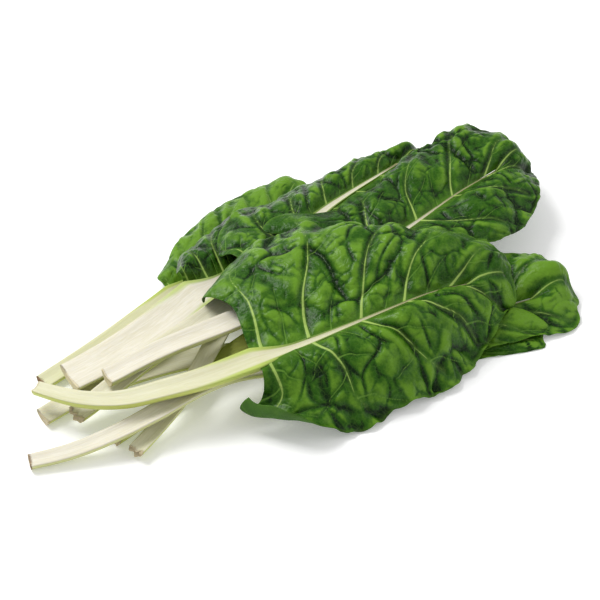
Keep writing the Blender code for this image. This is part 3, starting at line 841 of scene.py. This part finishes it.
leaves = [
    dict(usualLeaf, name="low_front", seed=11, columns=10, rows=5, pleats=5,
         rib=((-264, 17), (-200, 24), (-105, 8), (0, -42), (90, -92), (150, -124)),
         stalk=230, width=(20, 26), depth=(9, 10),
         left=(15, 45, 60, 62, 58, 50, 40), right=(15, 36, 40, 38, 34, 32, 38),
         mesh=(170, 50), savoy=0.7, ruffle=2,
         stalkGreen=0.22, brown=0.2, torn=0, lift=0),
    dict(usualLeaf, name="under", seed=15, columns=10, rows=5, pleats=5,
         rib=((-222, -42), (-174, -31), (-80, -10), (30, 14), (130, 34), (200, 46)),
         stalk=190, width=(14, 20), depth=(8, 9),
         left=(12, 46, 60, 62, 54, 44, 36), right=(12, 40, 50, 52, 48, 42, 36),
         mesh=(170, 50), savoy=0.7, ruffle=2,
         stalkGreen=0.95, brown=0.3, torn=3.5, lift=0),
    dict(usualLeaf, name="low_back", seed=12, columns=16, rows=7, flare=(0, 0), pleats=6,
         rib=((-245, 58), (-176, 75), (-110, 95), (-40, 118), (40, 143), (90, 158)),
         stalk=172, width=(18, 24), depth=(9, 10),
         left=(20, 38, 66, 84, 84, 66, 44), right=(12, 40, 52, 52, 46, 40, 38),
         mesh=(260, 70), savoy=0.7, ruffle=4,
         stalkGreen=0.42, brown=1, torn=0.5, lift=0.3),
    dict(usualLeaf, name="far_back", seed=13, columns=10, rows=5, pleats=5,
         rib=((-214, -68), (-144, -36), (-60, 30), (10, 96), (60, 142), (92, 170)),
         stalk=228, width=(15, 20), depth=(8, 9),
         left=(10, 30, 46, 58, 60, 52, 42), right=(10, 36, 50, 52, 48, 42, 38),
         mesh=(170, 50), savoy=0.6, ruffle=2, veins=0.9,
         stalkGreen=0.3, brown=0.3, torn=2.5, lift=0.35),
    dict(usualLeaf, name="right", seed=14, columns=18, rows=8, pleats=6,
         rib=((-297, -27), (-240, -45), (-185, -53), (-100, -50), (0, -68), (110, -82), (206, -98)),
         stalk=262, width=(15, 24), depth=(9, 11),
         left=(15, 50, 66, 78, 86, 82, 42), right=(12, 34, 44, 52, 64, 80, 48),
         mesh=(300, 80), savoy=0.8, ruffle=4, veins=1.1,
         stalkGreen=0, brown=0.8, torn=0.3, lift=0.2),
    dict(usualLeaf, name="broad_stalk", seed=17, columns=18, rows=8, flare=(20, 20), pleats=6,
         rib=((-226, 38), (-183, 40), (-136, 49), (-81, 66), (-20, 86), (40, 106)),
         stalk=160, width=(36, 42), depth=(11, 13),
         left=(12, 40, 60, 72, 74, 70, 60), right=(10, 20, 30, 42, 56, 62, 60),
         mesh=(300, 80), savoy=0.9, curl=22, ruffle=4.5, veins=1.2,
         stalkGreen=0, brown=0, torn=0.2, lift=-0.3),
    dict(usualLeaf, name="rear_middle", seed=16, columns=20, rows=8, pleats=6,
         rib=((-240, -6), (-170, 6), (-100, 19), (-44, 34), (30, 67), (100, 100), (172, 119),
              (210, 131)),
         stalk=232, width=(20, 28), depth=(10, 12),
         left=(46, 68, 60, 53, 48, 47, 42), right=(14, 46, 60, 66, 60, 48, 36),
         mesh=(330, 80), savoy=0.9, curl=22, ruffle=4.5, veins=1.2, waist=-0.5,
         stalkGreen=0.25, brown=0.3, beige=35, torn=4, lift=-0.12),
    dict(usualLeaf, name="upper_right", seed=18, columns=24, rows=10, flare=(24, 24), pleats=4.5,
         rib=((-205, 1), (-143, -2), (-72, -6), (40, -2), (143, 21), (220, 41), (284, 56)),
         stalk=250, width=(20, 27), depth=(11, 12),
         left=(108, 70, 66, 88, 100, 98, 44), right=(16, 50, 66, 97, 92, 72, 46),
         mesh=(410, 105), savoy=1, ruffle=4.5, veins=1.3,
         stalkGreen=0, brown=0, beige=190, torn=0.2, lift=-0.15),
    dict(usualLeaf, name="top", seed=19, columns=30, rows=12, flare=(17, 65), pleats=4.5,
         rib=((-261, 32), (-236, -6), (-206, -31), (-174, -45), (-140, -55), (-94, -62), (-47, -70),
              (9, -76), (92, -80), (134, -84)),
         stalk=207, width=(13, 27), depth=(10, 13),
         left=(98, 140, 142, 118, 95, 79, 52), right=(30, 63, 75, 86, 76, 62, 50),
         mesh=(420, 114), savoy=1, curl=22, lobeCurl=(50, -130), corner=(2.6, 0.32), ruffle=5, veins=1.5,
         stalkGreen=0.36, brown=0, beige=180, torn=0.2, lift=0),
]


def makeLeaves():
    names = [leaf["name"] for leaf in leaves]
    for k, leaf in enumerate(leaves):
        name = leaf["name"]
        lower, upper = (cadTree([n + part for n in group for part in ("_blade", "_stalk")])
                        for group in (names[:k], names[k + 1:]))
        line = RibLine(leaf)
        stalkFinish = stalkMaterial(name + "StalkFinish", leaf["stalkGreen"], leaf["brown"], leaf["beige"])
        makeStalk(leaf, line, stalkFinish)
        makeBlade(leaf, line, lower, upper, bladeMaterial(name + "BladeFinish", leaf["lift"]))
        print("leaf made:", name)


# Floor, light and camera

studio = {
    "floor": 6.0, "floorColour": (0.93, 0.93, 0.93, 1), "floorRoughness": 0.9, "glow": 0.2,
    "keyPlace": (-0.5, 0.9, 1.5), "keySize": 0.9, "keyPower": 27,
    "fillPlace": (1.2, -0.9, 1.3), "fillSize": 1.2, "fillPower": 5, "world": 0.56,
    "azimuth": -33.0, "elevation": 40.0, "distance": 1.35, "lens": 85,
    "lookAt": (-0.0161, -0.0321, 0.035),
}


def aimed(thing, place, target):
    thing.location = place
    thing.rotation_mode = "QUATERNION"
    thing.rotation_quaternion = (Vector(target) - Vector(place)).to_track_quat("-Z", "Y")


def areaLight(name, place, size, power):
    bpy.ops.object.light_add(type="AREA")
    lamp = bpy.context.object
    lamp.name = name
    lamp.data.size = size
    lamp.data.energy = power
    aimed(lamp, place, (0, 0, 0))


def makeStudio():
    s = studio
    bpy.ops.object.select_all(action="DESELECT")
    bpy.ops.mesh.primitive_plane_add(size=s["floor"])
    floor = bpy.context.object
    floor.name = "floor"
    paint = bpy.data.materials.new("floorPaint")
    paint.use_nodes = True
    sockets = paint.node_tree.nodes["Principled BSDF"].inputs
    sockets["Base Color"].default_value = s["floorColour"]
    sockets["Roughness"].default_value = s["floorRoughness"]
    sockets["Emission Strength"].default_value = s["glow"]
    floor.data.materials.append(paint)
    areaLight("keyLight", s["keyPlace"], s["keySize"], s["keyPower"])
    areaLight("fillLight", s["fillPlace"], s["fillSize"], s["fillPower"])
    world = bpy.data.worlds.new("studioWorld")
    world.use_nodes = True
    world.node_tree.nodes["Background"].inputs[0].default_value = (1, 1, 1, 1)
    world.node_tree.nodes["Background"].inputs[1].default_value = s["world"]
    bpy.context.scene.world = world
    bpy.context.scene.view_settings.view_transform = "Standard"
    print("floor and lights made")


def makeCamera():
    s = studio
    a, e = math.radians(s["azimuth"]), math.radians(s["elevation"])
    back = Vector((math.sin(a) * math.cos(e), -math.cos(a) * math.cos(e), math.sin(e)))
    bpy.ops.object.camera_add()
    camera = bpy.context.object
    camera.name = "photoCamera"
    camera.data.lens = s["lens"]
    aimed(camera, Vector(s["lookAt"]) + back * s["distance"], s["lookAt"])
    bpy.context.scene.camera = camera
    print("camera placed")


makeLeaves()
makeStudio()
makeCamera()
